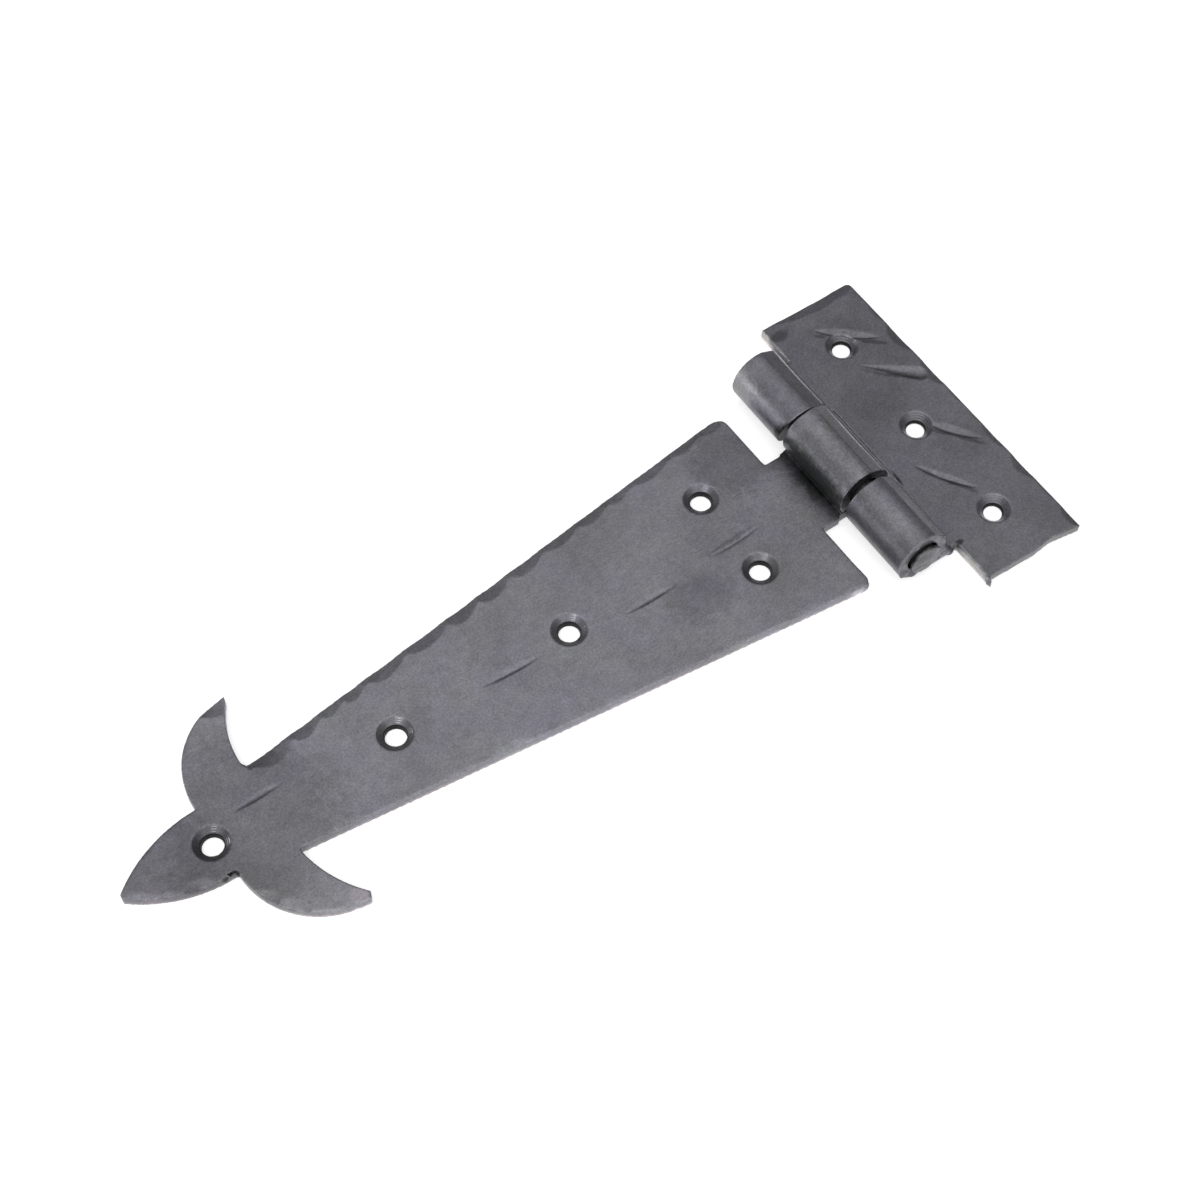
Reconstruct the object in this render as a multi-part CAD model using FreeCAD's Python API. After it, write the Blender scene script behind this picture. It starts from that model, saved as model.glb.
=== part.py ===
import FreeCAD, Part
import math
import os
from FreeCAD import Vector

# Arrow hinge, hand forged: a long tapered strap that ends in an arrow head, a short
# rectangular leaf, and a pin through three knuckles rolled from the two sheets.
# X runs from the arrow tip (-X) across the pin to the short leaf (+X), Y runs along
# the pin and Z points away from the door. Both backs lie on Z = 0, and the axis of
# the barrel stands above the origin. All sizes are in millimetres.

# Sheet, pin and rolls
sheet_thickness = 3.5
pin_radius = 4.4
bore_clearance = 0.55        # all round, between the pin and the rolled sheet
seam_gap = 0.2               # between a roll's free edge and the sheet below it
pin_sag = 0.3                # how far the loose pin lies below the barrel's axis
pin_shift = 0.2              # how far it lies towards the short leaf

# Knuckles along the pin
centre_roll_length = 26.6
centre_roll_shift = 0.6      # middle of the centre knuckle from the strap's centre line
upper_gap = 0.3              # narrowest gap above the centre knuckle
lower_gap = 2.3
upper_roll_length = 23.6
lower_roll_length = 23.6
upper_roll_skew = 12.0       # degrees that the upper knuckle's inner end leans back

# Pin ends
lower_peen_height = 2.1
upper_peen_height = 1.2
peen_spread = 0.8            # how much wider than the pin each hammered end is
peen_swell = 0.4             # length over which it widens
peen_dome = 0.5              # height of the rounded top

# Strap
strap_reach = 228.6          # barrel axis to arrow tip
shoulder_gap = 6.35          # barrel to the middle of the strap's wide end
wide_end_width = 69.4
wide_end_shift = -0.5        # its middle from the strap's centre line
wide_end_skew = 0.95         # how much nearer its lower corner is to the barrel
neck_half_width = 14.2
tongue_width = 26.4
tongue_shift = -0.2

# Arrow head
tip_leaf_length = 27.8       # arrow tip to the notches
notch_half_width = 10.8
tip_half_width = 0.7
tip_leaf_rise = 2.7          # bulge of each edge of the tip leaf
neck_setback = 16.4          # notches to the inner corners at the neck
upper_horn_half_width = 35.8
upper_horn_sweep = 22.8      # notches to the horn's point, along the strap
upper_horn_lean = -0.5       # how far the blunt end's inner corner lies past its point
lower_horn_half_width = 36.4
lower_horn_sweep = 24.3
lower_horn_lean = 0.9
horn_end_width = 1.8         # each horn's blunt end, across the strap
horn_outer_rise = 7.2
horn_inner_rise = 1.7

# Strap corners
upper_neck_radius = 1.8
lower_neck_radius = 0.6
upper_corner_radius = 3.4
lower_corner_radius = 2.0

# Short leaf
leaf_width = 32.2
leaf_length = 105.4
leaf_shift = -0.9            # its middle from the strap's centre line
ear_gap = 4.35               # barrel to the inner edge of the leaf's square ears
notch_gap = 4.05             # barrel to the inner edge of the notch
leaf_corner_radius = 1.5

# Screw holes
strap_hole_radius = 3.05
strap_sink_radius = 5.15
leaf_hole_radius = 2.8
leaf_sink_radius = 4.75
strap_sink_angle = 112.0
leaf_sink_angle = 82.0
pair_from_axis = 36.7        # barrel axis to the pair in the strap's wide end
pair_half_spacing = 13.9
last_hole_from_tip = 26.4
strap_line_pitch = 55.6
strap_line_count = 3
leaf_hole_from_edge = 16.1   # outer edge of the short leaf to its row of holes
leaf_hole_shift = 0.2        # middle of the row from the middle of the leaf
leaf_hole_pitch = 34.6
leaf_hole_count = 3

# Hammer blows that bevel the edges
steep_slope = 12.0           # degrees, on the strap's +Y edges
gentle_slope = 17.0          # on the -Y edges of its head
lower_edge_slope = 9.0       # along its straight -Y edge
leaf_end_slope = 12.0
leaf_outer_slope = 10.0
blow_turn = 25.0             # how far blows on the straight +Y edges turn away from the arrow
blow_width = 1.22            # the dent's width at the edge, against the blow's length
blow_overshoot = 1.0         # how far a blow's tool stands out past the edge

# Single blows: share of the way along the edge, length, how far it comes in. The strap's
# upper and lower edges run from the neck to the wide end, the head's edges away from the
# tip, and the short leaf's edges from its upper outer corner or from its lower inner one.
neck_blows = ((0.047, 12.6, 5.0),)
upper_edge_blows = (
    (0.108, 8.6, 4.3), (0.159, 7.4, 3.4), (0.205, 6.9, 3.9), (0.258, 11.7, 3.9),
    (0.335, 12.9, 3.6), (0.421, 9.9, 4.4), (0.484, 10.1, 4.2),
    (0.549, 10.9, 3.7), (0.618, 11.1, 2.9), (0.694, 9.7, 3.3), (0.755, 8.2, 3.1),
    (0.812, 11.8, 2.7), (0.893, 9.8, 2.5), (0.962, 9.3, 2.9),
)
lower_edge_blows = (
    (0.08, 12.0, 1.4), (0.17, 9.0, 0.8), (0.27, 14.0, 1.0), (0.355, 12.0, 2.2),
    (0.52, 16.0, 0.9), (0.65, 12.0, 1.2), (0.76, 14.0, 0.8), (0.88, 13.0, 1.6),
    (0.965, 8.0, 1.0),
)
upper_horn_blows = ((0.58, 9.0, 0.9), (0.9, 9.0, 4.5))
lower_horn_blows = ((0.3, 8.0, 2.8), (0.47, 10.0, 3.0), (0.68, 9.0, 0.9), (0.86, 7.0, 1.0))
leaf_upper_end_blows = ((0.2, 10.5, 3.0), (0.49, 13.5, 3.2), (0.8, 12.0, 1.2))
leaf_outer_edge_blows = (
    (0.05, 8.0, 0.8), (0.13, 9.0, 1.2), (0.235, 10.5, 2.8), (0.385, 9.5, 3.0),
    (0.48, 9.0, 0.9), (0.56, 8.0, 0.8), (0.645, 10.0, 1.8), (0.765, 9.0, 2.6),
    (0.86, 9.0, 1.0), (0.965, 9.0, 2.0),
)
leaf_lower_end_blows = ((0.22, 12.0, 1.2), (0.55, 13.0, 1.5), (0.83, 10.0, 1.8))
upper_tip_blows = ((0.2, 8.0, 0.8), (0.47, 9.0, 1.0), (0.74, 8.0, 0.8))
lower_tip_blows = ((0.14, 8.0, 2.0), (0.4, 8.0, 1.5), (0.66, 8.5, 2.9))

# Chisel marks along the strap: deepest point from the barrel axis, its distance from
# the centre line, length, turn from the X axis in degrees
strap_marks = (
    (36.9, -3.4, 19.0, 2.2),
    (67.8, -5.2, 19.0, -1.0),
    (111.4, -2.3, 21.0, -3.4),
    (186.0, 4.2, 17.0, 0.0),
)
strap_mark_depth = 0.28
strap_mark_steep_width = 0.4
strap_mark_broad_width = 1.8
chisel_lean = 60.0           # the chisel leans over, so that its marks are bowed
mark_overrun = 0.3           # how far the tool runs on past each end of a mark, as a share of it

# Chisel marks across the short leaf: deepest point from the barrel axis and from the
# leaf's middle, length, turn, depth, width of the steep flank and of the broad one
leaf_marks = (
    (32.05, 36.65, 20.2, -41.8, 0.55, 0.8, 2.6),
    (35.9, -7.8, 17.9, -53.6, 0.5, 0.8, 2.4),
    (24.0, -18.9, 20.5, -58.2, 0.45, 0.9, 1.6),
)

# The mark that a hammer's round corner left on the short leaf, shallow where it starts
# and deep where it ends, placed like the chisel marks
peen_start = Vector(28.3, 26.5, 0)
peen_end = Vector(41.3, 13.9, 0)
peen_start_radius = 0.6
peen_end_radius = 4.5
peen_depth = 0.7

# Worked out from the sizes above
bore_radius = pin_radius + bore_clearance
roll_radius = bore_radius + sheet_thickness
axis_height = roll_radius
centre_roll_end = centre_roll_shift + centre_roll_length / 2
centre_roll_start = centre_roll_shift - centre_roll_length / 2
upper_roll_start = centre_roll_end + upper_gap
upper_roll_end = upper_roll_start + upper_roll_length
lower_roll_end = centre_roll_start - lower_gap
lower_roll_start = lower_roll_end - lower_roll_length
shoulder_x = -(roll_radius + shoulder_gap)
tip_x = -strap_reach
notch_x = tip_x + tip_leaf_length
neck_x = notch_x + neck_setback
ear_x = roll_radius + ear_gap
leaf_notch_x = roll_radius + notch_gap
leaf_outer_x = ear_x + leaf_width
leaf_top_y = leaf_shift + leaf_length / 2
leaf_bottom_y = leaf_shift - leaf_length / 2
above = 1.0                  # cutting tools stand this far out of the sheet
same_place = 0.01            # two points this near each other are one


def line(a, b):
    return Part.LineSegment(a, b).toShape()


# An arc from a to b whose middle lies rise to the left of the way from a to b.
def bulged(a, b, rise):
    way = b - a
    left = Vector(-way.y, way.x, 0).normalize()
    return Part.Arc(a, (a + b) / 2 + left * rise, b).toShape()


def extruded(edges, direction):
    return Part.Face(Part.Wire(edges)).extrude(direction)


# A box between two opposite corners.
def block(low, high):
    return Part.makeBox(high.x - low.x, high.y - low.y, high.z - low.z, low)


# The cylinder's bottom leaves the sheet's top face reach inside the edge and falls
# outwards at the given slope. The wider the blow, the flatter the cylinder. A turn swings
# it clockwise in plan, so that the dent is blunt at one end and runs out at the other.
def hammer_blow(spot, outward, length, reach, slope, turn):
    fall = math.radians(slope)
    swing = math.radians(turn)
    out = FreeCAD.Rotation(Vector(0, 0, 1), -turn).multVec(Vector(outward).normalize())
    ruling = out * math.cos(fall) + Vector(0, 0, -math.sin(fall))
    lift = out * math.sin(fall) + Vector(0, 0, math.cos(fall))
    half = blow_width * length / 2
    radius = half * half / (2 * reach * math.sin(fall))
    entry = spot - out * reach + Vector(0, 0, sheet_thickness)
    start = entry - ruling * reach + lift * radius
    aside = half * math.sin(swing) / math.sqrt(reach)
    root = aside + math.sqrt(aside ** 2 + 4 * reach * math.cos(swing) ** 2)
    far = (root / (2 * math.cos(swing))) ** 2
    depth = reach + (far + blow_overshoot) / math.cos(fall)
    return Part.makeCylinder(radius, depth, start, ruling)


# Single blows on an edge, each square to it or turned. side is +1 where the sheet lies on
# the right of the edge's direction, and -1 on the left.
def single_blows(edge, side, blows, slope, turn=0):
    tools = []
    for share, length, reach in blows:
        place = edge.FirstParameter + share * (edge.LastParameter - edge.FirstParameter)
        way = edge.tangentAt(place)
        outward = Vector(-way.y, way.x, 0) * side
        tools.append(hammer_blow(edge.valueAt(place), outward, length, reach, slope, turn))
    return tools


# A leaning wheel with a V rim that sinks into the top face from end to end of the mark.
# The steep flank is on the right of the mark's direction.
def chisel_mark(middle, turn, length, depth, steep_width, broad_width):
    lean = math.radians(chisel_lean)
    sunk = depth / math.cos(lean)
    radius = (length * length / 4 + sunk * sunk) / (2 * sunk)
    apex = Vector(0, 0, sheet_thickness - depth)
    steep = apex + Vector(0, -steep_width, depth) * 2
    broad = apex + Vector(0, broad_width, depth) * 2
    hub = apex + Vector(0, math.sin(lean), math.cos(lean)) * radius
    axle = Vector(0, math.cos(lean), -math.sin(lean))
    rim = Part.Face(Part.Wire([line(apex, steep), line(steep, broad), line(broad, apex)]))
    half_sweep = math.degrees(math.asin((0.5 + mark_overrun) * length / radius))
    rim.rotate(hub, axle, -half_sweep)
    wheel = rim.revolve(hub, axle, 2 * half_sweep)
    wheel.rotate(Vector(0, 0, 0), Vector(0, 0, 1), turn)
    wheel.translate(middle)
    return wheel


# A round cone with a ball end, laid so that it touches the top face at the start of the
# mark and is sunk to the given depth under its ball.
def peen_mark(start, end, start_radius, end_radius, depth):
    top = Vector(0, 0, sheet_thickness)
    first = start + top + Vector(0, 0, start_radius)
    ball = end + top + Vector(0, 0, end_radius - depth)
    span = first.distanceToPoint(ball)
    flare = math.asin((end_radius - start_radius) / span)
    half_turn = (math.pi / 2 + flare) / 2
    foot = Vector(-start_radius * math.sin(flare), 0, 0)
    narrow = foot + Vector(0, start_radius * math.cos(flare), 0)
    wide = Vector(span - end_radius * math.sin(flare), end_radius * math.cos(flare), 0)
    on_ball = Vector(math.cos(half_turn), math.sin(half_turn), 0) * end_radius
    nose = Vector(span + end_radius, 0, 0)
    edges = [
        line(foot, narrow),
        line(narrow, wide),
        Part.Arc(wide, Vector(span, 0, 0) + on_ball, nose).toShape(),
        line(nose, foot),
    ]
    tool = Part.Face(Part.Wire(edges)).revolve(Vector(0, 0, 0), Vector(1, 0, 0), 360)
    tool.Placement = FreeCAD.Placement(first, FreeCAD.Rotation(Vector(1, 0, 0), ball - first))
    return tool


# A screw hole with its countersink, standing out of both faces of the sheet.
def screw_hole(x, y, radius, sink_radius, sink_angle):
    slope = math.tan(math.radians(sink_angle / 2))
    sink_depth = (sink_radius - radius) / slope
    through = Part.makeCylinder(radius, sheet_thickness + 2 * above, Vector(x, y, -above))
    foot = Vector(x, y, sheet_thickness - sink_depth)
    sink = Part.makeCone(radius, sink_radius + above * slope, sink_depth + above, foot)
    return through.fuse(sink)


# A sheet that comes in flat under the pin from the given side (+1 from +X), rolls up
# on the far side, passes over the pin and comes down onto its own top face, where its
# end is cut square. The section is drawn at start and runs length along the pin.
def rolled_knuckle(side, reach, start, length):
    drop = math.asin((roll_radius - sheet_thickness - seam_gap) / roll_radius)
    half_turn = (math.radians(270) + drop) / 2

    def on_roll(radius, turned):
        angle = math.radians(-90) - turned
        x = side * radius * math.cos(angle)
        return Vector(x, start, axis_height + radius * math.sin(angle))

    heel = Vector(side * reach, start, 0)
    toe = Vector(side * reach, start, sheet_thickness)
    whole_turn = 2 * half_turn
    outer_start = on_roll(roll_radius, 0)
    outer_end = on_roll(roll_radius, whole_turn)
    inner_start = on_roll(bore_radius, 0)
    inner_end = on_roll(bore_radius, whole_turn)
    edges = [
        line(heel, outer_start),
        Part.Arc(outer_start, on_roll(roll_radius, half_turn), outer_end).toShape(),
        line(outer_end, inner_end),
        Part.Arc(inner_end, on_roll(bore_radius, half_turn), inner_start).toShape(),
        line(inner_start, toe),
        line(toe, heel),
    ]
    return extruded(edges, Vector(0, length, 0))


def cut_one_by_one(solid, tools):
    for tool in tools:
        solid = solid.cut(tool)
    return solid


# Fillets on the upright edges that stand at the given places in plan.
def round_corners(solid, corners):
    for spot, radius in corners:
        upright = []
        for edge in solid.Edges:
            middle = edge.CenterOfMass
            off = math.hypot(middle.x - spot.x, middle.y - spot.y)
            short = sheet_thickness - edge.BoundBox.ZLength
            if off < same_place and short < same_place:
                upright.append(edge)
        solid = solid.makeFillet(radius, upright)
    return solid


# One side of the arrow head and strap in plan, from the tip to the wide end. side is
# +1 for the +Y side and -1 for the other.
def strap_side(side, horn_half_width, horn_sweep, horn_lean):
    tip = Vector(tip_x, side * tip_half_width, 0)
    notch = Vector(notch_x, side * notch_half_width, 0)
    horn_point = Vector(notch_x + horn_sweep, side * horn_half_width, 0)
    horn_heel = horn_point + Vector(horn_lean, -side * horn_end_width, 0)
    neck = Vector(neck_x, side * neck_half_width, 0)
    wide_x = shoulder_x - side * wide_end_skew / 2
    wide = Vector(wide_x, wide_end_shift + side * wide_end_width / 2, 0)
    tip_arc = bulged(tip, notch, side * tip_leaf_rise)
    horn_arc = bulged(notch, horn_point, side * horn_outer_rise)
    inner_arc = bulged(horn_heel, neck, -side * horn_inner_rise)
    edges = [tip_arc, horn_arc, line(horn_point, horn_heel), inner_arc, line(neck, wide)]
    return edges, neck, wide


def make_strap_leaf():
    upper = strap_side(1, upper_horn_half_width, upper_horn_sweep, upper_horn_lean)
    lower = strap_side(-1, lower_horn_half_width, lower_horn_sweep, lower_horn_lean)
    upper_edges, upper_neck, upper_wide = upper
    lower_edges, lower_neck, lower_wide = lower
    tip_top = Vector(tip_x, tip_half_width, 0)
    tip_bottom = Vector(tip_x, -tip_half_width, 0)
    ends = [line(tip_top, tip_bottom), line(upper_wide, lower_wide)]
    outline = Part.__sortEdges__(upper_edges + lower_edges + ends)
    sheet = extruded(outline, Vector(0, 0, sheet_thickness))
    sheet = round_corners(sheet, [
        (upper_neck, upper_neck_radius),
        (lower_neck, lower_neck_radius),
        (upper_wide, upper_corner_radius),
        (lower_wide, lower_corner_radius),
    ])

    tongue_low = Vector(shoulder_x - above, tongue_shift - tongue_width / 2, 0)
    tongue_high = Vector(-roll_radius, tongue_shift + tongue_width / 2, sheet_thickness)
    knuckle = rolled_knuckle(-1, roll_radius + above, centre_roll_start, centre_roll_length)
    leaf = sheet.fuse([block(tongue_low, tongue_high), knuckle])

    places = [(-pair_from_axis, pair_half_spacing), (-pair_from_axis, -pair_half_spacing)]
    last_x = tip_x + last_hole_from_tip
    for number in range(strap_line_count):
        places.append((last_x + number * strap_line_pitch, 0))
    holes = []
    for x, y in places:
        holes.append(screw_hole(x, y, strap_hole_radius, strap_sink_radius, strap_sink_angle))

    upper_tip_arc, upper_horn_arc = upper_edges[:2]
    lower_tip_arc, lower_horn_arc = lower_edges[:2]
    blows = single_blows(upper_tip_arc, 1, upper_tip_blows, steep_slope)
    blows += single_blows(upper_horn_arc, 1, upper_horn_blows, steep_slope)
    blows += single_blows(upper_edges[-1], 1, neck_blows, steep_slope)
    blows += single_blows(upper_edges[-1], 1, upper_edge_blows, steep_slope, blow_turn)
    blows += single_blows(lower_tip_arc, -1, lower_tip_blows, gentle_slope)
    blows += single_blows(lower_horn_arc, -1, lower_horn_blows, gentle_slope)
    blows += single_blows(lower_edges[-1], -1, lower_edge_blows, lower_edge_slope)

    marks = []
    for from_axis, across, length, turn in strap_marks:
        middle = Vector(-from_axis, across, 0)
        marks.append(chisel_mark(middle, turn, length, strap_mark_depth, strap_mark_steep_width,
                                 strap_mark_broad_width))
    return cut_one_by_one(leaf, holes + blows + marks)


def make_fixed_leaf():
    corners = [
        Vector(ear_x, leaf_bottom_y, 0),
        Vector(leaf_outer_x, leaf_bottom_y, 0),
        Vector(leaf_outer_x, leaf_top_y, 0),
        Vector(ear_x, leaf_top_y, 0),
        Vector(ear_x, upper_roll_end, 0),
        Vector(leaf_notch_x, upper_roll_end, 0),
        Vector(leaf_notch_x, lower_roll_start, 0),
        Vector(ear_x, lower_roll_start, 0),
    ]
    sheet = Part.Face(Part.makePolygon(corners + corners[:1])).extrude(Vector(0, 0, sheet_thickness))
    sheet = round_corners(sheet, [(corners[2], leaf_corner_radius)])

    under = leaf_notch_x + above
    upper = rolled_knuckle(1, under, upper_roll_start, upper_roll_length)
    lower = rolled_knuckle(1, under, lower_roll_start, lower_roll_length)
    lean = 2 * roll_radius * math.tan(math.radians(upper_roll_skew))
    left = -roll_radius - above
    wedge_corners = [
        Vector(left, upper_roll_start, 2 * roll_radius),
        Vector(left, upper_roll_start + lean, 0),
        Vector(left, upper_roll_start, 0),
    ]
    wedge = Part.Face(Part.makePolygon(wedge_corners + wedge_corners[:1]))
    wedge = wedge.extrude(Vector(leaf_notch_x - left, 0, 0))
    leaf = sheet.fuse([upper.cut(wedge), lower])

    holes = []
    hole_x = leaf_outer_x - leaf_hole_from_edge
    first_y = leaf_shift + leaf_hole_shift - (leaf_hole_count - 1) / 2 * leaf_hole_pitch
    for number in range(leaf_hole_count):
        hole_y = first_y + number * leaf_hole_pitch
        holes.append(screw_hole(hole_x, hole_y, leaf_hole_radius, leaf_sink_radius, leaf_sink_angle))

    bottom_inner, bottom_outer, top_outer, top_inner = corners[:4]
    upper_end = line(top_outer, top_inner)
    outer_edge = line(top_outer, bottom_outer)
    lower_end = line(bottom_inner, bottom_outer)
    blows = single_blows(upper_end, -1, leaf_upper_end_blows, leaf_end_slope, blow_turn)
    blows += single_blows(outer_edge, 1, leaf_outer_edge_blows, leaf_outer_slope)
    blows += single_blows(lower_end, -1, leaf_lower_end_blows, leaf_outer_slope)

    leaf_middle = Vector(0, leaf_shift, 0)
    marks = [peen_mark(leaf_middle + peen_start, leaf_middle + peen_end, peen_start_radius,
                       peen_end_radius, peen_depth)]
    for from_axis, across, length, turn, depth, steep_width, broad_width in leaf_marks:
        middle = leaf_middle + Vector(from_axis, across, 0)
        marks.append(chisel_mark(middle, turn, length, depth, steep_width, broad_width))
    return cut_one_by_one(leaf, holes + blows + marks)


# Half of the pin's outline for one hammered end: the shank swells to a lip just
# outside the knuckle and closes in a low round dome. out is +1 for the +Y end.
def peened_end(knuckle_end, out, height):
    lip_radius = pin_radius + peen_spread
    dome_radius = (lip_radius ** 2 + peen_dome ** 2) / (2 * peen_dome)
    half_angle = math.asin(lip_radius / dome_radius) / 2
    neck = Vector(pin_radius, knuckle_end, 0)
    swell = Vector(lip_radius, knuckle_end + out * peen_swell, 0)
    lip = Vector(lip_radius, knuckle_end + out * (height - peen_dome), 0)
    crown = Vector(0, knuckle_end + out * height, 0)
    centre = crown - Vector(0, out * dome_radius, 0)
    on_dome = Vector(math.sin(half_angle), out * math.cos(half_angle), 0) * dome_radius
    dome = Part.Arc(lip, centre + on_dome, crown).toShape()
    return [line(neck, swell), line(swell, lip), dome], neck, crown


def make_hinge_pin():
    upper_end, upper_neck, upper_crown = peened_end(upper_roll_end, 1, upper_peen_height)
    lower_end, lower_neck, lower_crown = peened_end(lower_roll_start, -1, lower_peen_height)
    shank = line(lower_neck, upper_neck)
    middle = line(lower_crown, upper_crown)
    outline = Part.__sortEdges__(upper_end + lower_end + [shank, middle])
    pin = Part.Face(Part.Wire(outline)).revolve(Vector(0, 0, 0), Vector(0, 1, 0), 360)
    pin.translate(Vector(pin_shift, 0, axis_height - pin_sag))
    return pin


pieces = {
    "strap_leaf": make_strap_leaf(),
    "fixed_leaf": make_fixed_leaf(),
    "hinge_pin": make_hinge_pin(),
}
os.makedirs("parts", exist_ok=True)
for name, shape in pieces.items():
    shape.exportStep("parts/" + name + ".step")
    print(name, "solids", len(shape.Solids), "valid", shape.isValid(), "faces", len(shape.Faces),
          "volume", round(shape.Volume), "box", shape.BoundBox)
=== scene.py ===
import math

import bpy
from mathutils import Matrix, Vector


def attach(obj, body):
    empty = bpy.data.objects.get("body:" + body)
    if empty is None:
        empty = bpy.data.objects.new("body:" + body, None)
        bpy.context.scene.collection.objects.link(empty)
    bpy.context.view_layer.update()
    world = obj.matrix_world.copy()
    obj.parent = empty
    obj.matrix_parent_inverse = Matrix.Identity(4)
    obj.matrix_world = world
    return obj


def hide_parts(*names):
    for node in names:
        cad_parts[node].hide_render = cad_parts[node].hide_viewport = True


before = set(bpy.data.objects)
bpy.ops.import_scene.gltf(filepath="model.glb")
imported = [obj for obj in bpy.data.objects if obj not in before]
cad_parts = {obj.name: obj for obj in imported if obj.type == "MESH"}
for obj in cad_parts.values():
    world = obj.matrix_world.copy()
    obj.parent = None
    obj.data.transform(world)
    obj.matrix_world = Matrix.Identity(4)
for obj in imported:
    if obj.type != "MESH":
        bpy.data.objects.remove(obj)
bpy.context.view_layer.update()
mm = 0.001


def onlySelect(*things):
    bpy.ops.object.select_all(action="DESELECT")
    for thing in things:
        thing.select_set(True)
    bpy.context.view_layer.objects.active = things[0]


# camera, where the photographer stood
camera = {
    "place": (-0.26475, -0.26463, 0.54330),
    "target": (-0.0776, 0.0046, 0.0),
    "lens": 69.3,
    "sensor": 36,
    "nearest": 0.01,
}
bpy.ops.object.camera_add(location=camera["place"])
viewfinder = bpy.context.object
viewfinder.name = "photo_camera"
aim = Vector(camera["target"]) - Vector(camera["place"])
viewfinder.rotation_euler = aim.to_track_quat("-Z", "Y").to_euler()
viewfinder.data.sensor_width = camera["sensor"]
viewfinder.data.lens = camera["lens"]
viewfinder.data.clip_start = camera["nearest"]
bpy.context.scene.camera = viewfinder
bpy.context.scene.view_settings.view_transform = "Standard"
print("camera set")

# Light tent: bright overhead, dim at the sides, dimmest beyond the short leaf and brighter
# in front, with the dark shape of the camera in it. Its levels go by height, from 0 at the
# horizon to 1 overhead. A shade has its direction, how near to it the shade starts and is
# full (1 is right on it), and what is then left of the light.
studio = {
    "tent": ((0.0, 0.25), (0.35, 0.275), (0.62, 0.40), (0.78, 0.75), (0.87, 1.20), (1.0, 1.52)),
    "tentGain": 2,  # a ramp ends at 1, so it holds the levels halved
    "shades": [((1, 0, 0), 0.30, 0.85, 0.05),
               ((0.28, 0.85, 0.45), 0.84, 0.97, 0.12),
               ((-0.57, -0.82, 0), 0.20, 0.80, 2.9),
               ((-0.22, -0.56, 0.80), 0.975, 0.992, 0.22)],
    "whiteInSteel": 0.2,  # share of the white surroundings that the steel mirrors
    "floorSize": 1.1,
    "floorMiddle": (-0.09, 0, 0),
    "floorColour": 0.85,
    "floorLift": 0.53,  # glow that turns the lit paper white
    "strip": {"place": (-0.73, 0.60, 0.08), "size": (0.30, 0.12), "power": 1.3},
    "glint": {"place": (-0.55, -0.19, 0.71), "size": (0.05, 0.05), "power": 0.4},
}


# a colour ramp's stops, each a position and its colour
def fillRamp(node, stops):
    steps = node.color_ramp.elements
    steps[0].position, steps[1].position = stops[0][0], stops[-1][0]
    for position, _ in stops[1:-1]:
        steps.new(position)
    for step, (_, colour) in zip(steps, stops):
        step.color = (*colour, 1)


# 1 for the rays that a mirroring or a clear surface sends on
def mirroredRays(nodes, links, light):
    either = nodes.new("ShaderNodeMath")
    either.operation = "MAXIMUM"
    links.new(light.outputs["Is Glossy Ray"], either.inputs[0])
    links.new(light.outputs["Is Transmission Ray"], either.inputs[1])
    return either.outputs[0]


def hangTent():
    world = bpy.data.worlds.new("light_tent")
    bpy.context.scene.world = world
    world.use_nodes = True
    nodes, links = world.node_tree.nodes, world.node_tree.links
    nodes.clear()
    way = nodes.new("ShaderNodeTexCoord").outputs["Generated"]
    parts = nodes.new("ShaderNodeSeparateXYZ")
    links.new(way, parts.inputs[0])
    gain = studio["tentGain"]
    ramp = nodes.new("ShaderNodeValToRGB")
    fillRamp(ramp, [(height, [level / gain] * 3) for height, level in studio["tent"]])
    links.new(parts.outputs["Z"], ramp.inputs[0])
    strength = None
    for towards, start, full, left in studio["shades"]:
        facing = nodes.new("ShaderNodeVectorMath")
        facing.operation = "DOT_PRODUCT"
        facing.inputs[1].default_value = Vector(towards).normalized()
        links.new(way, facing.inputs[0])
        veil = nodes.new("ShaderNodeMapRange")
        veil.interpolation_type = "SMOOTHSTEP"
        veil.inputs["From Min"].default_value = start
        veil.inputs["From Max"].default_value = full
        veil.inputs["To Min"].default_value = 1
        veil.inputs["To Max"].default_value = left
        links.new(facing.outputs["Value"], veil.inputs["Value"])
        veiled = nodes.new("ShaderNodeMath")
        veiled.operation = "MULTIPLY"
        veiled.inputs[1].default_value = gain
        links.new(veil.outputs["Result"], veiled.inputs[0])
        if strength is not None:
            links.new(strength, veiled.inputs[1])
        strength = veiled.outputs[0]
    lit = nodes.new("ShaderNodeBackground")
    links.new(ramp.outputs["Color"], lit.inputs["Color"])
    links.new(strength, lit.inputs["Strength"])
    seen = nodes.new("ShaderNodeBackground")
    seen.inputs["Color"].default_value = (1, 1, 1, 1)
    light = nodes.new("ShaderNodeLightPath")
    white = nodes.new("ShaderNodeMath")
    white.operation = "MULTIPLY_ADD"
    white.inputs[1].default_value = studio["whiteInSteel"]
    links.new(mirroredRays(nodes, links, light), white.inputs[0])
    links.new(light.outputs["Is Camera Ray"], white.inputs[2])
    choice = nodes.new("ShaderNodeMixShader")
    links.new(white.outputs[0], choice.inputs[0])
    links.new(lit.outputs[0], choice.inputs[1])
    links.new(seen.outputs[0], choice.inputs[2])
    out = nodes.new("ShaderNodeOutputWorld")
    links.new(choice.outputs[0], out.inputs[0])


def hangLamp(name):
    spec = studio[name]
    bpy.ops.object.light_add(type="AREA", location=spec["place"])
    lamp = bpy.context.object
    lamp.name = name + "_light"
    lamp.data.energy = spec["power"]
    lamp.data.shape = "RECTANGLE"
    lamp.data.size, lamp.data.size_y = spec["size"]
    lamp.rotation_euler = (-Vector(spec["place"])).to_track_quat("-Z", "Y").to_euler()


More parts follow.
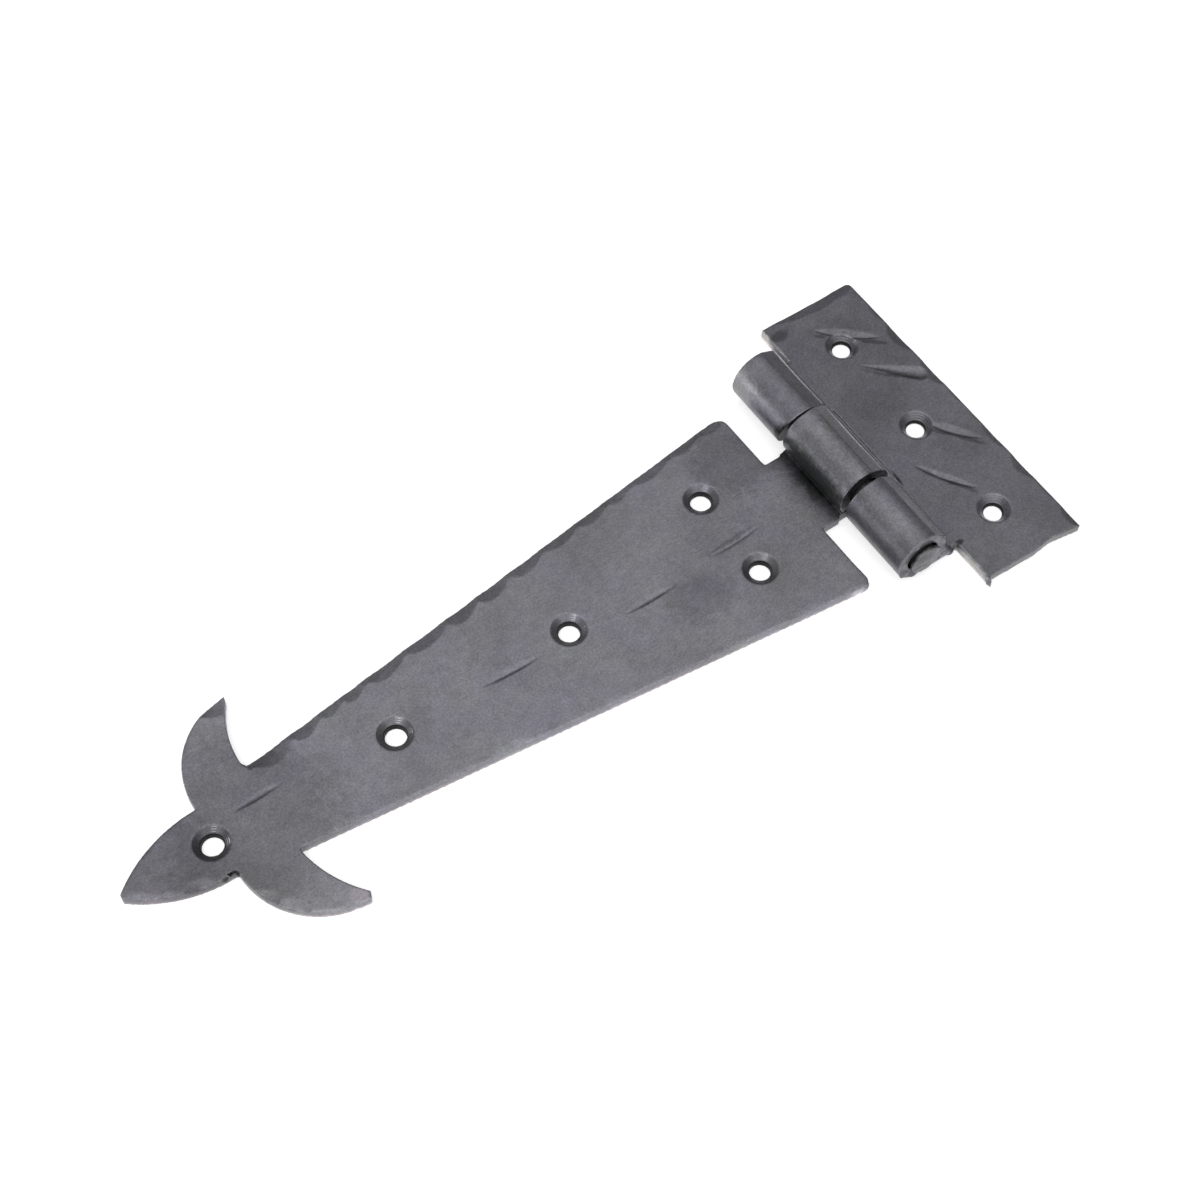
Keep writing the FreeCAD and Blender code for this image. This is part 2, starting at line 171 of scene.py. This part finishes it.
def layPaper():
    bpy.ops.mesh.primitive_plane_add(size=studio["floorSize"], location=studio["floorMiddle"])
    paper = bpy.context.object
    paper.name = "white_paper"
    material = bpy.data.materials.new("white_paper")
    material.use_nodes = True
    nodes, links = material.node_tree.nodes, material.node_tree.links
    nodes.clear()
    matt = nodes.new("ShaderNodeBsdfDiffuse")
    matt.inputs["Color"].default_value = (*[studio["floorColour"]] * 3, 1)
    light = nodes.new("ShaderNodeLightPath")
    shown = nodes.new("ShaderNodeMath")
    shown.operation = "MAXIMUM"
    links.new(light.outputs["Is Camera Ray"], shown.inputs[0])
    links.new(mirroredRays(nodes, links, light), shown.inputs[1])
    lift = nodes.new("ShaderNodeMath")
    lift.operation = "MULTIPLY"
    lift.inputs[1].default_value = studio["floorLift"]
    links.new(shown.outputs[0], lift.inputs[0])
    glow = nodes.new("ShaderNodeEmission")
    links.new(lift.outputs[0], glow.inputs["Strength"])
    both = nodes.new("ShaderNodeAddShader")
    links.new(matt.outputs[0], both.inputs[0])
    links.new(glow.outputs[0], both.inputs[1])
    out = nodes.new("ShaderNodeOutputMaterial")
    links.new(both.outputs[0], out.inputs[0])
    paper.data.materials.append(material)


hangTent()
hangLamp("strip")
hangLamp("glint")
layPaper()
print("light tent and paper set")


# A finish is put together from a few kinds of node; this bench keeps them short.
class Bench:
    def __init__(self, name):
        self.material = bpy.data.materials.new(name)
        self.material.use_nodes = True
        self.nodes = self.material.node_tree.nodes
        self.links = self.material.node_tree.links
        self.skin = self.nodes["Principled BSDF"]
        self.place = self.nodes.new("ShaderNodeTexCoord").outputs["Object"]

    def feed(self, socket, value):
        if isinstance(value, bpy.types.NodeSocket):
            self.links.new(value, socket)
        else:
            socket.default_value = value

    def noise(self, scale, detail, roughness):
        node = self.nodes.new("ShaderNodeTexNoise")
        node.inputs["Scale"].default_value = scale
        node.inputs["Detail"].default_value = detail
        node.inputs["Roughness"].default_value = roughness
        self.links.new(self.place, node.inputs["Vector"])
        return node.outputs["Fac"]

    def math(self, kind, a, b=0.0):
        node = self.nodes.new("ShaderNodeMath")
        node.operation = kind
        self.feed(node.inputs[0], a)
        self.feed(node.inputs[1], b)
        return node.outputs[0]

    # low to high as value goes from a to b
    def step(self, value, a, b, low=0.0, high=1.0):
        node = self.nodes.new("ShaderNodeMapRange")
        node.interpolation_type = "SMOOTHSTEP"
        self.feed(node.inputs["Value"], value)
        node.inputs["From Min"].default_value = a
        node.inputs["From Max"].default_value = b
        node.inputs["To Min"].default_value = low
        node.inputs["To Max"].default_value = high
        return node.outputs["Result"]

    def ramp(self, value, stops):
        node = self.nodes.new("ShaderNodeValToRGB")
        fillRamp(node, stops)
        self.links.new(value, node.inputs[0])
        return node.outputs["Color"]

    # a Mix node has a pair of inputs, A and B, and a result for each kind of value
    def mix(self, share, a, b):
        node = self.nodes.new("ShaderNodeMix")
        self.feed(node.inputs[0], share)
        self.feed(node.inputs[2], a)
        self.feed(node.inputs[3], b)
        return node.outputs[0]

    # colour times tone, where share is 1; a tone over 1 lightens
    def tinted(self, colour, share, tone):
        node = self.nodes.new("ShaderNodeMix")
        node.data_type = "RGBA"
        node.blend_type = "MULTIPLY"
        self.feed(node.inputs[0], share)
        self.feed(node.inputs[6], colour)
        self.feed(node.inputs[7], tone)
        return node.outputs[2]

    # distance of the surface from an upright line at x, y
    def distance(self, spot):
        flat = self.nodes.new("ShaderNodeVectorMath")
        flat.operation = "MULTIPLY"
        flat.inputs[1].default_value = (1, 1, 0)
        self.links.new(self.place, flat.inputs[0])
        node = self.nodes.new("ShaderNodeVectorMath")
        node.operation = "DISTANCE"
        node.inputs[1].default_value = Vector((*spot, 0)) * mm
        self.links.new(flat.outputs[0], node.inputs[0])
        return node.outputs["Value"]

    # how far out the surface is from a spot, 1 on an oval of the given radii
    def oval(self, spot, radii, turn):
        node = self.nodes.new("ShaderNodeMapping")
        node.vector_type = "TEXTURE"
        node.inputs["Location"].default_value = Vector(spot) * mm
        node.inputs["Rotation"].default_value = (0, 0, math.radians(turn))
        node.inputs["Scale"].default_value = Vector(radii) * mm
        self.links.new(self.place, node.inputs["Vector"])
        out = self.nodes.new("ShaderNodeVectorMath")
        out.operation = "LENGTH"
        self.links.new(node.outputs[0], out.inputs[0])
        return out.outputs["Value"]

    def painted(self, name):
        node = self.nodes.new("ShaderNodeAttribute")
        node.attribute_name = name
        return node.outputs["Fac"]

    def axes(self):
        node = self.nodes.new("ShaderNodeSeparateXYZ")
        self.links.new(self.place, node.inputs[0])
        return node.outputs


# Waxed forge scale, shared by the three pieces. A noise has its scale, detail and
# roughness. A fade has where it starts and where it is full: on an oval's radius, in
# millimetres, or on the "rubbed" attribute, which is 0.5 on flat faces.
waxedSteel = {
    "dark": (0.196, 0.191, 0.208),
    "middle": (0.226, 0.222, 0.249),
    "light": (0.250, 0.246, 0.276),
    "patchNoise": (38, 3, 0.55),
    "patchStops": (0.3, 0.5, 0.7),
    "shifts": [  # bluer and greener places, mottling, grain
        {"noise": (85, 4, 0.6),
         "low": (0.35, (0.985, 1.01, 0.965)), "high": (0.65, (1.0, 0.99, 1.03))},
        {"noise": (420, 3, 0.6), "low": (0.3, [0.91] * 3), "high": (0.7, [1.09] * 3)},
        {"noise": (1700, 2, 0.6), "low": (0.3, [0.78] * 3), "high": (0.7, [1.18] * 3)},
    ],
    "metallic": 0.85,
    "roughness": (0.34, 0.46),
    "roughNoise": (160, 4, 0.6),
    "roughFade": (0.25, 0.75),
    "poreNoise": (900, 3, 0.6),
    "poreStrength": 0.4,
    "poreDepth": 0.05,
    "raggedNoise": (500, 4, 0.6),  # breaks up the outline of every mark
    "ragged": 0.9,
    "smudgeAndShadingFade": (1.0, 0.45),
    "polishAndHighlightFade": (1.0, 0.6),
    "polished": 0.2,  # roughness
    "bareAndReflection": (1.75, 1.6, 1.55, 1),  # worn foot of the sheet's edges, lighter also as a painted reflection of the paper
    "bareAndReflectionTop": (1.5, 0.9),
    "bareAndReflectionBottom": (0.15, 0.3),
    "bareAndReflectionRagged": 1.6,
    "worn": 1.35,
    "wornFade": (0.515, 0.55),
    "wornRagged": 0.04,
    # darker in the hollows
    "hollowTone": 0.72,
    "hollowFade": (0.488, 0.455),
    # the strap's darker countersinks are painted shade
    "sinkTone": 0.82,
    "sinkRoughness": 0.28,
    "sinkFade": (0.05, -0.15),  # past the countersink's rim
    "sinkBottom": (0.1, 0.3),
    "ringPitch": 0.5,
    "ringDepth": 0.6,
    # painted shade on the bores' walls
    "boreShade": 0.1,
    "boreShadeFade": (0.35, 0.15),  # past the bore
    "drilledRoughness": 0.6,
}


def toneColour(tone):
    return (*tone, 1) if isinstance(tone, tuple) else (tone, tone, tone, 1)


# Broad patches, mottling and a fine grain, light where the edges are rubbed and along their worn
# foot, which is lighter also as a painted reflection of the paper, darker in the hollows, and
# turned countersinks with painted shade in the bores. marks holds the piece's own smudges with
# painted shades and highlights, rubbed places lightened as painted highlights, painted shade in
# the crease, and holes, as far as it has them.
def forgedFinish(name, spec, marks):
    bench = Bench(name)
    x, _, z = bench.axes()
    tones = zip(spec["patchStops"], (spec["dark"], spec["middle"], spec["light"]))
    colour = bench.ramp(bench.noise(*spec["patchNoise"]), list(tones))
    for shift in spec["shifts"]:
        tint = bench.ramp(bench.noise(*shift["noise"]), [shift["low"], shift["high"]])
        colour = bench.tinted(colour, 1.0, tint)
    rough = bench.noise(*spec["roughNoise"])
    rough = bench.step(rough, *spec["roughFade"], *spec["roughness"])
    height = bench.noise(*spec["poreNoise"])
    ragged = bench.math("SUBTRACT", bench.noise(*spec["raggedNoise"]), 0.5)
    ragged = bench.math("MULTIPLY", ragged, spec["ragged"])

    # smudges, painted shade and painted highlights from the piece's list
    for spot, radii, turn, tone in marks.get("smudgesAndPaintedLight", ()):
        away = bench.math("ADD", bench.oval(spot, radii, turn), ragged)
        smudgeAndShading = bench.step(away, *spec["smudgeAndShadingFade"])
        colour = bench.tinted(colour, smudgeAndShading, toneColour(tone))
    # rubbed places: polished, and lightened as painted highlights
    for spot, radii, turn, tone in marks.get("rubbed", ()):
        away = bench.math("ADD", bench.oval(spot, radii, turn), ragged)
        polishAndHighlight = bench.step(away, *spec["polishAndHighlightFade"])
        colour = bench.tinted(colour, polishAndHighlight, toneColour(tone))
        rough = bench.mix(polishAndHighlight, rough, spec["polished"])

    # worn foot of the edges, lightened also as a painted reflection of the paper
    top, topFull = spec["bareAndReflectionTop"]
    bottom, bottomFull = spec["bareAndReflectionBottom"]
    foot = bench.math("ADD", z, bench.math("MULTIPLY", ragged, spec["bareAndReflectionRagged"] * mm))
    foot = bench.math("MULTIPLY", bench.step(foot, top * mm, topFull * mm),
                      bench.step(z, bottom * mm, bottomFull * mm))
    colour = bench.tinted(colour, foot, spec["bareAndReflection"])

    # painted shade in the tongue's crease by the centre knuckle
    creaseShade = marks.get("creaseShade")
    if creaseShade:
        near = bench.step(x, creaseShade["from"] * mm, creaseShade["to"] * mm)
        low = bench.step(z, creaseShade["top"] * mm, (creaseShade["top"] - creaseShade["fade"]) * mm)
        near = bench.math("MULTIPLY", bench.math("POWER", near, creaseShade["gather"]), low)
        colour = bench.tinted(colour, near, toneColour(creaseShade["tone"]))

    edge = bench.painted("rubbed")
    wear = bench.math("ADD", edge, bench.math("MULTIPLY", ragged, spec["wornRagged"]))
    colour = bench.tinted(colour, bench.step(wear, *spec["wornFade"]), toneColour(spec["worn"]))
    # darker in the hollows
    colour = bench.tinted(colour, bench.step(edge, *spec["hollowFade"]), toneColour(spec["hollowTone"]))

    holes = marks.get("holes")
    if holes:
        nearest = None
        for spot in holes["places"]:
            away = bench.distance(spot)
            nearest = away if nearest is None else bench.math("MINIMUM", nearest, away)
        start, full = [(holes["sink"] + past) * mm for past in spec["sinkFade"]]
        bottom, bottomFull = spec["sinkBottom"]
        inside = bench.math("MULTIPLY", bench.step(nearest, start, full),
                            bench.step(z, bottom * mm, bottomFull * mm))
        colour = bench.tinted(colour, inside, toneColour(spec["sinkTone"]))
        rough = bench.mix(inside, rough, spec["sinkRoughness"])
        rings = bench.math("MULTIPLY", nearest, 2 * math.pi / (spec["ringPitch"] * mm))
        rings = bench.math("MULTIPLY", bench.math("SINE", rings), spec["ringDepth"])
        height = bench.mix(inside, height, rings)
        # painted shade on the bores' walls
        start, full = [(holes["bore"] + past) * mm for past in spec["boreShadeFade"]]
        bore = bench.step(nearest, start, full)
        colour = bench.tinted(colour, bore, toneColour(spec["boreShade"]))
        rough = bench.mix(bore, rough, spec["drilledRoughness"])

    bench.feed(bench.skin.inputs["Base Color"], colour)
    bench.feed(bench.skin.inputs["Roughness"], rough)
    bench.skin.inputs["Metallic"].default_value = spec["metallic"]
    bump = bench.nodes.new("ShaderNodeBump")
    bump.inputs["Strength"].default_value = spec["poreStrength"]
    bump.inputs["Distance"].default_value = spec["poreDepth"] * mm
    bench.feed(bump.inputs["Height"], height)
    bench.feed(bench.skin.inputs["Normal"], bump.outputs["Normal"])
    print(name, "mixed")
    return bench.material


mergeDistance = 0.001  # mm


# A merged copy of a CAD node's mesh, to be worked further.
def rawForging(nodeName, pieceName):
    piece = bpy.data.objects.new(pieceName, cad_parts[nodeName].data.copy())
    bpy.context.collection.objects.link(piece)
    onlySelect(piece)
    bpy.ops.object.mode_set(mode="EDIT")
    bpy.ops.mesh.select_all(action="SELECT")
    bpy.ops.mesh.remove_doubles(threshold=mergeDistance * mm)
    bpy.ops.object.mode_set(mode="OBJECT")
    piece.data.materials.clear()
    return piece


# Flats, nicks and cracks: boxes taken out of the forging. Each has its middle, its size
# and its turn about X, Y and Z in degrees.
def takeOut(piece, boxes):
    for place, size, turn in boxes:
        bpy.ops.mesh.primitive_cube_add(size=1, location=Vector(place) * mm,
                                        rotation=[math.radians(angle) for angle in turn])
        cutter = bpy.context.object
        cutter.scale = Vector(size) * mm
        bpy.ops.object.transform_apply(location=False, rotation=False, scale=True)
        cut = piece.modifiers.new("cut", "BOOLEAN")
        cut.operation = "DIFFERENCE"
        cut.solver = "EXACT"
        cut.object = cutter
        onlySelect(piece)
        bpy.ops.object.modifier_apply(modifier=cut.name)
        onlySelect(cutter)
        bpy.ops.object.delete()


# Burrs: rough lumps joined to the forging before it gets its skin. Each has its middle,
# its radii and its turn in degrees.
def putOn(piece, lumps):
    for place, radii, turn in lumps:
        bpy.ops.mesh.primitive_ico_sphere_add(subdivisions=3, radius=1,
                                              location=Vector(place) * mm,
                                              rotation=[math.radians(angle) for angle in turn])
        lump = bpy.context.object
        lump.scale = Vector(radii) * mm
        onlySelect(piece, lump)
        bpy.ops.object.join()


# The thin burr that the drill pushed out at the back of each screw hole.
def lipHoles(piece, holes, lip):
    for x, y in holes["places"]:
        bpy.ops.mesh.primitive_torus_add(major_segments=48, minor_segments=16,
                                         location=(x * mm, y * mm, lip["height"] * mm),
                                         major_radius=(holes["bore"] + lip["offset"]) * mm,
                                         minor_radius=lip["radius"] * mm)
        onlySelect(piece, bpy.context.object)
        bpy.ops.object.join()


# One close skin over the forging, with eased edges and the slight waves that a hammer
# leaves. How sharply it turns is painted on it, for the rubbed edges and the darker hollows.
def finishForging(piece, spec, material, body, nodeName):
    skin = piece.modifiers.new("skin", "REMESH")
    skin.mode = "VOXEL"
    skin.voxel_size = spec["voxel"] * mm
    ease = piece.modifiers.new("ease", "SMOOTH")
    ease.factor = 0.5
    ease.iterations = spec["ease"]
    waves = bpy.data.textures.new(piece.name + "_waves", "CLOUDS")
    waves.noise_scale = spec["waveSize"] * mm
    push = piece.modifiers.new("waves", "DISPLACE")
    push.texture = waves
    push.texture_coords = "LOCAL"
    push.mid_level = 1  # inwards only
    push.strength = spec["waveDepth"] * mm
    onlySelect(piece)
    for modifier in list(piece.modifiers):
        bpy.ops.object.modifier_apply(modifier=modifier.name)
    bpy.ops.geometry.color_attribute_add(name="rubbed", domain="CORNER", data_type="FLOAT_COLOR",
                                         color=(1, 1, 1, 1))
    bpy.ops.object.mode_set(mode="VERTEX_PAINT")
    bpy.ops.paint.vertex_color_dirt(blur_strength=1, blur_iterations=1, normalize=False)
    bpy.ops.object.mode_set(mode="OBJECT")
    thin = piece.modifiers.new("thin", "DECIMATE")
    thin.ratio = spec["keep"]
    bpy.ops.object.modifier_apply(modifier=thin.name)
    bpy.ops.object.shade_smooth()
    piece.data.materials.append(material)
    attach(piece, body)
    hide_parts(nodeName)
    print(piece.name, len(piece.data.polygons), "faces")


# In each piece, every smudge, painted shade, painted highlight and rubbed place has its middle,
# its radii, its turn about Z in degrees, and a tone or colour, under 1 darker and over 1 lighter.
# Sizes are in mm.
strap = {
    "voxel": 0.3, "ease": 1, "waveSize": 14, "waveDepth": 0.12, "keep": 0.27,
    "holes": {
        "places": [(-36.7, 13.9), (-36.7, -13.9), (-91.0, 0), (-146.6, 0), (-202.2, 0)],
        "bore": 3.05,
        "sink": 5.15,
    },
    "lip": {"radius": 0.3, "height": 0.39, "offset": 0.1},
    "flats": [
        # worn flats along the centre knuckle
        ((5.05, 0.6, 17.2), (6.5, 28, 4), (0, 30, 0)),
        ((7.6, 0.6, 15.5), (4, 28, 4), (0, 40, 0)),
        # crack at the lower notch of the tip
        ((-204.8, -11.0, 3.1), (3.0, 0.8, 1.4), (0, 0, 16)),
        ((-202.1, -10.3, 3.1), (2.4, 0.6, 1.4), (0, 0, -8)),
        ((-200.9, -11.0, 2.9), (0.7, 1.2, 1.8), (0, 0, 0)),
        # chamfer along the upper edge
        ((-99.8, 23.5, 4.2), (169, 6, 2), (-15.4, 0, 6.75)),
        # tongue's upper corner, upper and lower horn
        ((-9.15, 14.3, 1.7), (4.2, 1.4, 3.6), (0, 0, 11)),
        ((-176.9, 33.7, 2.6), (0.9, 1.6, 4), (0, 0, 25)),
        ((-180.6, -36.1, 1.4), (1.6, 0.8, 4), (0, 0, -15)),
    ],
    "burrs": [
        ((-15.6, -34.4, 1.9), (1.3, 0.8, 1.4), (0, 0, 30)),
        ((-178.2, -34.5, 1.7), (1.0, 0.8, 1.5), (0, 0, 40)),
    ],
    "smudgesAndPaintedLight": [
        # broad patches
        ((-26, -16, 3.5), (17, 14, 9), 10, 0.92),
        ((-22, 20, 3.5), (17, 16, 9), 0, 0.72),
        ((-56, -12, 3.5), (14, 10, 9), 0, 0.77),
        ((-38, 6, 3.5), (16, 14, 9), 0, 0.90),
        ((-192, -2, 3.5), (32, 34, 9), 0, 0.75),
        ((-222, 0, 3.5), (30, 22, 9), 0, 0.80),
        ((-184, -30, 3.5), (16, 12, 9), 0, 1.12),
        # painted shade on the centre knuckle, its ends and its crease
        ((-4, 0.6, 9), (14, 22, 12), 0, 0.74),
        ((-8.2, 0, 8), (5.2, 20, 8), 0, (0.42, 0.44, 0.41)),
        ((-7.2, 13.8, 8), (4, 0.9, 7), 0, 0.3),
        ((-7.3, 0, 4.0), (1.4, 20, 1.2), 0, 0.3),
        ((0, -13.1, 9), (12, 1.4, 12), 0, 0.18),
        # painted shade in the crack
        ((-204.9, -11.2, 2.6), (2.1, 1.0, 3), 16, 0.10),
        ((-202.0, -10.3, 2.6), (1.7, 0.55, 3), -8, 0.12),
        ((-200.9, -11.0, 2.6), (0.6, 0.8, 3), 0, 0.12),
        # painted shade in the chisel marks
        ((-37.5, -1.9, 3.4), (9.5, 0.9, 2), 2.4, 0.62),
        ((-66.5, -5.2, 3.4), (8.5, 0.8, 2), 0, 0.66),
        ((-111.4, -2.5, 3.4), (9.0, 0.7, 2), -3.4, 0.72),
        ((-187.3, 4.3, 3.4), (7.0, 0.8, 2), 2, 0.66),
        # lighter places at the lower edges
        ((-18.5, -34.6, 1.6), (7, 1.3, 1.6), 7, 1.9),
        ((-178.5, -33.8, 3.2), (3.2, 2.6, 3), 0, (1.35, 1.24, 1.24)),
        ((-191, -33.5, 3.0), (6, 2.8, 3), -10, (1.15, 1.1, 1.1)),
        ((-224, -6, 3.0), (6, 3.0, 3), 30, (1.18, 1.12, 1.12)),
    ],
    "rubbed": [
        # polished ridge of the centre knuckle, lightened as a painted highlight
        ((6.5, 1, 14.0), (1.6, 14, 1.5), 0, 1.5),
    ],
    # painted shade in the tongue's crease by the centre knuckle
    "creaseShade": {"from": -21.0, "to": -8.0, "gather": 1.7, "top": 6.0, "fade": 2, "tone": 0.5},
}
strapSteel = forgedFinish("strap_steel", waxedSteel, strap)
forgedStrap = rawForging("strap_leaf", "forged_strap")
takeOut(forgedStrap, strap["flats"])
putOn(forgedStrap, strap["burrs"])
lipHoles(forgedStrap, strap["holes"], strap["lip"])
finishForging(forgedStrap, strap, strapSteel, "strap", "strap_leaf")

leaf = {
    "voxel": 0.27, "ease": 1, "waveSize": 12, "waveDepth": 0.12, "keep": 0.42,
    "holes": {
        "places": [(28.9, 33.9), (28.9, -0.7), (28.9, -35.3)],
        "bore": 2.8,
        "sink": 4.75,
    },
    "lip": {"radius": 0.38, "height": 0.494, "offset": 0.1},
    "flats": [
        # worn flats along the upper knuckle, then the lower one
        ((4.4, 26.0, 17.5), (6.0, 25, 4), (0, 26, 0)),
        ((7.25, 26.0, 15.85), (4, 25, 4), (0, 39, 0)),
        ((5.7, -26.6, 16.9), (5.0, 25, 4), (0, 38, 0)),
        # ragged lower end
        ((21.7, -53.5, 1.7), (17.0, 2.4, 8), (4, 0, -2.1)),
        ((32.0, -53.5, 1.7), (7.0, 2.4, 8), (4, 0, 6.5)),
        ((41.0, -54.0, 1.7), (11.8, 2.4, 8), (4, 0, -9)),
        # pit by the first hole
        ((31.9, 37.4, 3.75), (2.1, 1.6, 1.0), (0, 0, 20)),
    ],
    "burrs": [
        # round the lower knuckle's end
        ((7.6, -38.2, 6.0), (1.5, 1.1, 1.7), (0, 20, 10)),
        ((8.9, -38.4, 3.0), (1.7, 1.1, 1.6), (0, -15, -10)),
        ((10.6, -38.2, 1.4), (1.6, 1.3, 1.2), (0, 0, 20)),
        ((6.9, -38.2, 11.2), (1.2, 1.0, 1.3), (0, 30, 0)),
        ((3.0, -38.2, 14.4), (1.4, 0.6, 0.8), (0, 30, 0)),
        ((-2.5, -38.2, 14.6), (1.2, 0.7, 0.7), (0, -20, 6)),
        ((-6.9, -38.2, 10.6), (0.8, 0.8, 1.8), (0, 10, 0)),
        ((-6.3, -38.5, 5.0), (1.1, 0.9, 1.6), (0, 40, 0)),
        ((-2.6, -38.6, 2.2), (1.5, 0.9, 0.8), (0, -25, 0)),
        ((2.2, -38.6, 2.0), (1.3, 0.9, 0.9), (0, 5, 0)),
        ((5.8, -38.5, 2.6), (0.9, 0.9, 0.9), (0, 5, 0)),
        # lower inner corner
        ((12.9, -52.4, 1.9), (0.8, 0.8, 1.8), (0, 0, 0)),
    ],
    "smudgesAndPaintedLight": [
        # broad patches, and dark places by the upper end and the first hole
        ((31, 49, 3.5), (14, 9, 5), 0, 1.16),
        ((16.0, 46.9, 3.5), (4.4, 2.4, 3), 0, 0.55),
        ((31.9, 37.3, 3.0), (1.4, 1.1, 2), 0, 0.80),
        ((23.4, -44.5, 3.5), (14, 12, 5), 0, 1.16),
        ((25, 14, 3.5), (13, 12, 5), 0, 0.86),
        ((36, -12, 3.5), (9, 10, 5), 0, 0.88),
        # painted highlight on the upper knuckle's end, a lighter lower knuckle, and painted shade
        # in the gap above the centre knuckle
        ((-6.0, 34, 10), (5.5, 8, 8), 0, (1.42, 1.42, 1.34)),
        ((-6.5, 15.1, 11.5), (3.8, 1.3, 3.4), 0, 0.16),
        ((-7.8, 16.3, 4.5), (6.5, 2.6, 11.0), 0, 0.10),
        ((-1, -27, 13), (10, 16, 9), 0, 1.22),
        # notch and inner edge: painted shade in the notch and on the side face under the upper
        # ear, painted reflection of the paper on the side faces, and a painted highlight on the
        # lower corner's burr
        ((13.0, -12.2, 3.5), (0.45, 3.8, 2), -3, 0.2),
        ((13.6, -38.6, 3.0), (1.8, 1.1, 2.4), 0, 0.3),
        ((13.0, 51, 1.7), (1.0, 6.0, 2.6), 0, (2.8, 2.75, 2.4)),
        ((13.0, 40.5, 1.4), (0.9, 6.0, 2.4), 0, 0.42),
        ((13.0, -46, 1.7), (1.0, 8.5, 2.6), 0, (2.2, 2.2, 2.0)),
        ((12.6, -51.9, 3.2), (0.5, 0.5, 0.8), 0, 3.0),
        # painted shade in the chisel marks and the hammer's mark, then painted highlights on two
        # of their flanks
        ((37.4, 29.6, 3.2), (5.4, 1.0, 2), -39.5, 0.55),
        ((25.7, 40.1, 3.2), (2.2, 0.9, 2), -43, 0.6),
        ((30.3, 21.2, 3.2), (4.2, 0.8, 2), -50, 0.75),
        ((36.5, 15.2, 3.2), (7.4, 1.0, 2), -41, 0.58),
        ((33.0, -6.6, 3.2), (4.2, 0.9, 2), -51, 0.6),
        ((38.1, -13.2, 3.2), (6.4, 0.9, 2), -54, 0.6),
        ((21.4, -15.4, 3.2), (4.8, 0.8, 2), -67, 0.7),
        ((26.0, -24.1, 3.2), (7.4, 1.0, 2), -60, 0.58),
        ((39.1, 31.9, 3.5), (4.6, 1.4, 2), -45, 1.1),
        ((38.4, 17.3, 3.3), (6.8, 1.4, 2), -47, 1.1),
    ],
    "rubbed": [
        # polished ridges of the knuckles and strokes by the upper notch, lightened as painted
        # highlights
        ((6.3, 27, 14.3), (1.5, 16, 1.5), 0, 1.6),
        ((7.6, -27, 11.6), (0.8, 12, 1.2), 0, 2.0),
        ((11.8, 42.0, 3.5), (0.45, 4.0, 1.5), -8, (1.35, 1.35, 1.2)),
        ((12.9, 41.2, 3.5), (0.4, 3.6, 0.6), -4, (1.35, 1.35, 1.2)),
    ],
}
darkerSteel = {
    **waxedSteel,
    "dark": (0.140, 0.137, 0.149),
    "middle": (0.163, 0.160, 0.180),
    "light": (0.181, 0.178, 0.200),
    "sinkTone": 1.25,
    "sinkRoughness": 0.38,
}
leafSteel = forgedFinish("leaf_steel", darkerSteel, leaf)
forgedLeaf = rawForging("fixed_leaf", "forged_leaf")
takeOut(forgedLeaf, leaf["flats"])
putOn(forgedLeaf, leaf["burrs"])
lipHoles(forgedLeaf, leaf["holes"], leaf["lip"])
finishForging(forgedLeaf, leaf, leafSteel, "fixed", "fixed_leaf")

pin = {"voxel": 0.25, "ease": 2, "waveSize": 2.4, "waveDepth": 0.5, "keep": 0.5}
darkestSteel = {
    **waxedSteel,
    "dark": (0.112, 0.109, 0.115),
    "middle": (0.138, 0.135, 0.142),
    "light": (0.170, 0.166, 0.173),
}
pinSteel = forgedFinish("pin_steel", darkestSteel, pin)
forgedPin = rawForging("hinge_pin", "forged_pin")
finishForging(forgedPin, pin, pinSteel, "fixed", "hinge_pin")
